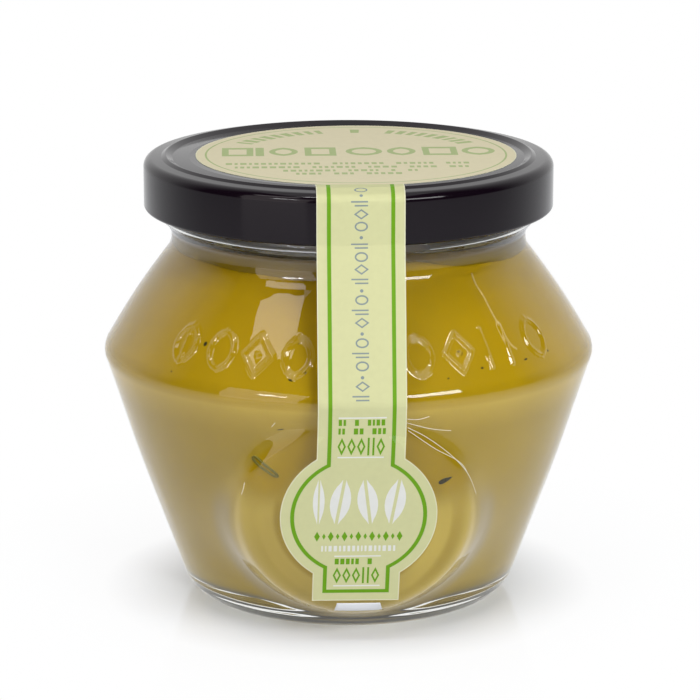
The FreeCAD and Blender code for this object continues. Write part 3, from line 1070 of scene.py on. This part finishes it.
def strip_outline(sheet):
    """Strip, roundel and tab with their green line."""
    half, round_radius, at = HALF_STRIP / MM, ROUNDEL_RADIUS / MM, ROUNDEL_AT / MM
    start, end, inset, line = STRIP_START / MM, LABEL_END / MM, INSET / MM, LINE / MM
    for out, slot in ((0, EDGE), (0.16, STRIP_PAPER), (inset, GREEN), (inset + line, STRIP_PAPER)):
        top = start if out < inset else start + 2.2
        low = end - out if out < inset else end - out + 0.2
        sheet.box(-half + out, top, half - out, low, slot)
        sheet.disc(0, at, round_radius - out, round_radius - out, slot, 96)
        sheet.box(-half + out, top, half - out, low, slot)


# Ornaments down the strip: ring, dot, bars and lozenge, and the length that each takes.
ORNAMENTS = "rdblrdbrlbdrbldrbrdlb"
ORNAMENT_LENGTHS = {"r": 2.15, "l": 2.05, "b": 1.75, "d": 1.3}
ORNAMENTS_FROM = 33.4
MIDDLE = 0.02
RULES = ((-4.0, 4.1, 73.85), (-4.0, 3.85, 81.4), (-3.9, 4.1, 100.75), (-3.9, 4.1, 106.65))
# The four nuts: place across, half width and turn.
NUTS = ((-6.9, 1.0, 0.0), (-3.2, 1.75, 0.14), (1.45, 1.75, -0.14), (6.15, 1.75, 0.14))


def ornament(sheet, kind, v):
    if kind == "r":
        for wide, high, slot in ((1.13, 0.85, GREY_BLUE), (0.85, 0.57, STRIP_PAPER)):
            sheet.disc(MIDDLE, v + 0.85, wide, high, slot, 18)
    elif kind == "l":
        for size, slot in ((1.0, GREY_BLUE), (0.66, STRIP_PAPER)):
            sheet.lozenge(MIDDLE, v + 0.8, 1.25 * size, 0.9 * size, slot)
    elif kind == "b":
        sheet.box(-1.7, v + 0.3, 1.15, v + 0.56, GREY_BLUE)
        sheet.box(-1.1, v + 0.95, 1.15, v + 1.21, GREY_BLUE)
    else:
        sheet.disc(MIDDLE, v + 0.6, 0.3, 0.3, GREY_BLUE, 10)


def strip_print(sheet):
    """Ornaments of the strip, the roundel and the tab."""
    v = ORNAMENTS_FROM
    for kind in ORNAMENTS:
        ornament(sheet, kind, v)
        v += ORNAMENT_LENGTHS[kind]
    for left, right, top in RULES:
        sheet.box(left, top, right, top + 0.24, WHITE)
    for top in (74.3, 75.95):
        sheet.row(-4.0, 4.05, top, top + 1.15, GREEN, 0.62, 0.26, 0.1)
    weight_row(sheet, 79.45, 1.7)
    for u, wide, turn in NUTS:
        kernel(sheet, u, 90.2, wide, 4.4, turn)
    for k in range(13):
        size = (1.0, 0.62)[k % 2]
        sheet.lozenge(-7.0 + 1.18 * k, 96.95, 0.5 * size, 0.98 * size, GREEN)
    sheet.row(-6.2, 6.5, 98.8, 99.9, WHITE, 0.5, 0.35, 0.12)
    sheet.row(-3.8, 4.0, 101.35, 102.5, GREEN, 0.62, 0.26, 0.15)
    weight_row(sheet, 104.7, 1.6)


def weight_row(sheet, v, high):
    """A row of green lozenges with a pair of bars among them."""
    for k, u in enumerate((-3.35, -1.7, -0.05, 1.6, 3.25)):
        if k == 3:
            for side in (-0.42, 0.42):
                sheet.box(u + side - 0.17, v - high, u + side + 0.17, v + high, GREEN)
            continue
        for size, slot in ((1.0, GREEN), (0.52, STRIP_PAPER)):
            sheet.lozenge(u, v, 0.72 * size, high * size, slot)


def kernel(sheet, u, v, wide, high, turn):
    """A white nut with a slanting split down its middle."""
    cos, sin = math.cos(turn), math.sin(turn)
    radius = (wide**2 + high**2) / (2 * wide)
    half = math.asin(high / radius)
    slit = 0.16 * wide
    for side in (1, -1):
        points = []
        for k in range(11):
            angle = half - 2 * half * k / 10
            a = max(radius * math.cos(angle) - radius + wide, slit)
            points.append((side * a, radius * math.sin(angle)))
        sheet.shape([(u + a * cos - b * sin, v + a * sin + b * cos) for a, b in points], WHITE)


# Distances along the label between which it wraps round the lid and the ridge, with the
# change to either side, and between which it hangs free from the one to the other.
WRAPPED = (28 * MM, 31 * MM, 71 * MM, 80 * MM)
OFF_THE_LID = (40 * MM, 70 * MM)


class Bent:
    """Places of the flat label on the lid, the ridge and the medallion."""

    def __init__(self):
        path = trace(label_path(), 5 * MM, math.radians(9))
        steps = np.hypot(*np.diff(path, axis=0).T)
        self.path, self.along = path, np.concatenate([[0], np.cumsum(steps)]) + path[0, 0]
        lean = np.arctan2(*np.gradient(path, axis=0).T[::-1])
        self.normal = np.stack([-np.sin(lean), np.cos(lean)], 1)

    def place(self, u, v, out):
        middle = np.array([np.interp(v, self.along, self.path[:, k]) for k in (0, 1)])
        normal = np.array([np.interp(v, self.along, self.normal[:, k]) for k in (0, 1)])
        normal /= np.linalg.norm(normal)
        shift = STRIP_SHIFT - KINK_LEAN * max(0.0, v - KINK)
        x = u + shift
        wrap = np.interp(v, WRAPPED, (0, 1, 1, 0))
        radius = np.interp(v, OFF_THE_LID, (LID_RADIUS, RIDGE_RADIUS))
        back = wrap * (radius - math.sqrt(radius**2 - x * x)) if wrap > 0 else 0.0
        across = middle[0] - back + normal[0] * out
        return (x, -across, middle[1] + normal[1] * out)


def cut_up(sheet, bent):
    """The print as flat triangles: their corners, and each face with its colour.

    Cross lines are added where the label bends, and a few lines along the strip.
    """
    points, edges, faces = [], [], []
    for outline, _ in sheet.shapes:
        faces.append(list(range(len(points), len(points) + len(outline))))
        points += outline
    lines = [((-2 * HALF_STRIP, v), (2 * HALF_STRIP, v)) for v in bent.along if v > WRAPPED[0]]
    lines += [((u, WRAPPED[0] + MM), (u, WRAPPED[-1])) for u in np.arange(-6, 7, 3) * MM]
    for line in lines:
        edges.append((len(points), len(points) + 1))
        points += line
    found = geometry.delaunay_2d_cdt([Vector(p) for p in points], edges, faces, 0, 1e-7)
    slots = [slot for _, slot in sheet.shapes]
    top = [(face, slots[max(owner)]) for face, owner in zip(found[2], found[5]) if owner]
    return found[0], top


PAPERS = (
    ("paper_strip", (0.555, 0.565, 0.305)),
    ("paper_disc", (0.65, 0.6, 0.41)),
    ("print_green", (0.125, 0.31, 0.006)),
    ("print_pale_green", (0.36, 0.44, 0.2)),
    ("print_white", (0.68, 0.69, 0.66)),
    ("print_grey_blue", (0.2, 0.25, 0.26)),
    ("paper_edge", (0.66, 0.66, 0.47)),
)


def label():
    """The printed sheet bent over the lid and down the front, with its back and its edge."""
    sheet = Print()
    disc_print(sheet, DISC_SHIFT / MM, -DISC_BACK / MM)
    strip_outline(sheet)
    strip_print(sheet)
    bent = Bent()
    flat, top = cut_up(sheet, bent)
    used = sorted({i for face, _ in top for i in face})
    order = {old: new for new, old in enumerate(used)}
    count = len(used)
    points = [bent.place(*flat[i], out) for out in (PAPER / 2, -PAPER / 2) for i in used]
    faces, slots, rim = [], [], {}
    for face, slot in top:
        corners = list(zip(face, face[1:] + face[:1]))
        if sum(flat[a][0] * flat[b][1] - flat[b][0] * flat[a][1] for a, b in corners) > 0:
            face = face[::-1]
        face = [order[i] for i in face]
        faces += [face, [i + count for i in face[::-1]]]
        slots += [slot, EDGE]
        for a, b in zip(face, face[1:] + face[:1]):
            if not rim.pop((b, a), False):
                rim[(a, b)] = True
    for a, b in rim:
        faces.append([b, a, a + count, b + count])
        slots.append(EDGE)
    papers = [paper_material(name, colour) for name, colour in PAPERS]
    piece = make_object("paper_label", points, faces, papers, slots, smooth=False)
    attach(piece, "root")
    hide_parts("label")


# ------------------------------------------------------------------ the lid

PANEL_RADIUS = 31.2 * MM
RING_RADIUS = 33.1 * MM
RING_WIDTH = 1.1 * MM
CURL_WIDTH = 1.3 * MM
CURL_HEIGHT = 1.7 * MM
SKIRT_WALL = 0.45 * MM
LUG_TURN = math.radians(34.6)
LUG_WIDTH = 14.0 * MM
LUG_LOW, LUG_HIGH = 71.4 * MM, 72.6 * MM
LUG_COLUMNS = 13
LID_COLUMNS = 288


def lid_outline():
    """Outside from the panel's middle to the curl, and back inside. Clockwise."""
    inner = LID_RADIUS - CURL_WIDTH + CURL_ROUND
    skin = LID_RADIUS - SKIRT_WALL
    return [
        (0, PANEL_HEIGHT, 0),
        (PANEL_RADIUS, PANEL_HEIGHT + 0.3 * MM, 0.3 * MM),
        (RING_RADIUS - RING_WIDTH / 2, LID_TOP - 0.4 * MM, -0.4 * MM),
        (RING_RADIUS + 0.3 * MM, SHOULDER[1] + SHOULDER_ROUND + 0.3 * MM, 0.2 * MM),
        (SHOULDER[0], SHOULDER[1], -SHOULDER_ROUND),
        (LID_RADIUS - CURL_ROUND, LID_EDGE + CURL_ROUND, -CURL_ROUND),
        (inner, LID_EDGE + CURL_ROUND, -CURL_ROUND),
        (LID_RADIUS - CURL_WIDTH, LID_EDGE + CURL_HEIGHT, 0),
        (skin - 0.4 * MM, LID_EDGE + CURL_HEIGHT + 0.3 * MM, 0),
        (skin - 1.1 * MM, SHOULDER[1], 1.1 * MM),
        (RING_RADIUS, PANEL_HEIGHT + 0.05 * MM, 0),
        (0, RIM_HEIGHT, 0),
    ]


def lid():
    outline = trace(lid_outline(), 12 * MM, math.radians(9))
    rows = [(0, PANEL_HEIGHT)] + [tuple(p) for p in outline[1:-1]] + [(0, RIM_HEIGHT)]
    points, faces = revolved(rows, np.linspace(0, 2 * math.pi, LID_COLUMNS + 1)[:-1])
    faces = [face[::-1] for face in faces]
    for quarter in range(4):
        lug(points, faces, LUG_TURN + quarter * math.pi / 2)
    piece = make_object("black_lid", points, faces, [lid_material()])
    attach(piece, "root")
    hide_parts("lid")


def lug(points, faces, turn):
    """A short curved block under the lid's edge."""
    half = LUG_WIDTH / 2 / LID_RADIUS
    near, far = LID_RADIUS - 2.6 * MM, LID_RADIUS - 0.6 * MM
    start = len(points)
    for angle in np.linspace(turn - half, turn + half, LUG_COLUMNS):
        for radius, height in ((near, LUG_LOW), (far, LUG_LOW), (far, LUG_HIGH), (near, LUG_HIGH)):
            points.append(from_front(angle, radius, height))
    end = start + 4 * (LUG_COLUMNS - 1)
    for a in range(start, end, 4):
        faces += [(a + i, a + 4 + i, a + 4 + (i + 1) % 4, a + (i + 1) % 4) for i in range(4)]
    faces.append((start, start + 1, start + 2, start + 3))
    faces.append((end + 3, end + 2, end + 1, end))


def main():
    glass()
    creases_and_glints()
    heel_pad()
    spread()
    film()
    bits()
    lid()
    label()


# ------------------------------------------------------------------ camera, lights, floor

CAMERA_REACH = 587 * MM
CAMERA_HEIGHT = 190 * MM
CAMERA_DIP = 0.244  # radians down from level
CAMERA_TURN = math.radians(-1.9)
LENS = 172.2
SENSOR = 36
SHIFT = 1.5 / 700  # of the picture's width


def camera():
    data = bpy.data.cameras.new("camera")
    data.lens = LENS
    data.sensor_width = SENSOR
    data.shift_x = SHIFT
    data.clip_start = 0.01
    item = new_object("camera", data)
    item.location = from_front(CAMERA_TURN, CAMERA_REACH, CAMERA_HEIGHT)
    item.rotation_euler = (math.pi / 2 - CAMERA_DIP, 0, CAMERA_TURN)
    bpy.context.scene.camera = item


# Softboxes: name, turn and rise in degrees, width and height in metres, watts, tint.
WHITE_LIGHT, WARM = (1, 1, 1), (1, 0.92, 0.92)
LAMPS = (
    ("key_right", 40, 29, (0.38, 0.17), 2.5, WHITE_LIGHT),
    ("key_front", 20, 34, (0.16, 0.16), 2.3, WHITE_LIGHT),
    ("fill_left", -51.5, 48.5, (0.31, 0.17), 0.6, WARM),
    ("tall_left", -43, 14, (0.62, 0.8), 2.6, WARM),
    ("glint_left", -33, 27, (0.05, 0.04), 0.25, WHITE_LIGHT),
    ("glint_high", -36, 64, (0.07, 0.05), 0.4, WHITE_LIGHT),
    ("glint_right", 33, 66, (0.07, 0.05), 0.4, WHITE_LIGHT),
    ("spot_left", -41, 28, (0.12, 0.08), 0.6, WHITE_LIGHT),
    ("top", 0, 84, (0.8, 0.8), 2.4, WHITE_LIGHT),
)
LAMP_AIM = 45 * MM
LAMP_DISTANCE = 0.9
FARTHER = {"top": 1.0}  # distances of lamps that stand farther off
ROLLED = {"fill_left": math.radians(20)}


def lights():
    """Oblong area lamps that face the jar's middle."""
    for name, turn, rise, size, power, tint in LAMPS:
        rise = math.radians(rise)
        away = from_front(math.radians(turn), math.cos(rise), math.sin(rise))
        data = bpy.data.lights.new(name, "AREA")
        data.shape = "RECTANGLE"
        data.size, data.size_y = size
        data.energy = power
        data.color = tint
        item = new_object(name, data)
        item.location = Vector((0, 0, LAMP_AIM)) + away * FARTHER.get(name, LAMP_DISTANCE)
        facing = (-away).to_track_quat("-Z", "Y")
        roll = Quaternion((0, 0, 1), ROLLED.get(name, 0.0))
        item.rotation_euler = (facing @ roll).to_euler()


def world():
    """White for the camera, and for the object a white backdrop behind a dim room."""
    studio = bpy.data.worlds.new("studio")
    bpy.context.scene.world = studio
    tree = Tree(studio)
    rays = tree.add("LightPath").outputs
    behind = tree.add("SeparateXYZ", tree.place("Generated")).outputs["Y"]
    backdrop = tree.out("MapRange", Value=behind, From_Max=0.5, To_Min=0.015, To_Max=0.9)
    levels = (backdrop, 0.16, 1.0)
    room, lit, seen = [tree.out("Background", (1, 1, 1, 1), level) for level in levels]
    soft = tree.out("MixShader", rays["Is Diffuse Ray"], room, lit)
    tree.add("OutputWorld", tree.out("MixShader", rays["Is Camera Ray"], soft, seen))


# The floor by distance from the jar in metres: how white it is to the eye and in
# reflections, and between which distances the glow near the jar comes in; closer in the glow
# is cut to a quarter, a painted shadow round the foot.
FLOOR_SEEN = ((0.029, 0.0), (0.045, 0.9), (0.085, 1.0))
FLOOR_REFLECTED = ((0.0225, 0.0), (0.03125, 0.85), (0.125, 0.85), (0.2125, 0.3))
FLOOR_GLOW_PAINTED_SHADOW = (0.023, 0.06)
FLOOR_HALF = 3.0
FLOOR_DROP = 0.03 * MM


def floor():
    """White floor: plain white farther off, and near the jar it keeps the shadow, darkened further
    by a dimmer glow there that is a painted shadow.
    """
    material, tree = new_material("floor")
    rays = tree.add("LightPath").outputs
    away = tree.vector("LENGTH", tree.place())
    direct = tree.maths("MAXIMUM", rays["Is Camera Ray"], rays["Is Transmission Ray"])
    mirrored = rays["Is Glossy Ray"]
    seen = tree.maths("MULTIPLY", tree.ramp(away, FLOOR_SEEN, 0.1), direct)
    reflected = tree.maths("MULTIPLY", tree.ramp(away, FLOOR_REFLECTED, 0.25), mirrored)
    near, far = FLOOR_GLOW_PAINTED_SHADOW
    # Painted shadow: the glow falls to a quarter close to the jar.
    glow = tree.out("MapRange", Value=away, From_Min=near, From_Max=far, To_Min=0.25)
    glow = tree.maths("MULTIPLY", glow, tree.maths("MAXIMUM", direct, mirrored))
    faint, white = [tree.out("Emission", (1, 1, 1, 1), level) for level in (0.2, 1.0)]
    matt = tree.principled((0.76, 0.79, 0.84, 1), (40.0, 0.002 * MM), (0.06, 0.12))
    lit = tree.out("AddShader", matt, tree.out("MixShader", glow, None, faint))
    share = tree.maths("MAXIMUM", seen, reflected)
    tree.add("OutputMaterial", tree.out("MixShader", share, lit, white))
    half = FLOOR_HALF
    corners = [(-half, -half, 0), (half, -half, 0), (half, half, 0), (-half, half, 0)]
    piece = make_object("floor", corners, [(0, 1, 2, 3)], [material])
    piece.location.z = -FLOOR_DROP


camera()
lights()
world()
floor()
main()
bpy.context.scene.view_settings.view_transform = "Standard"
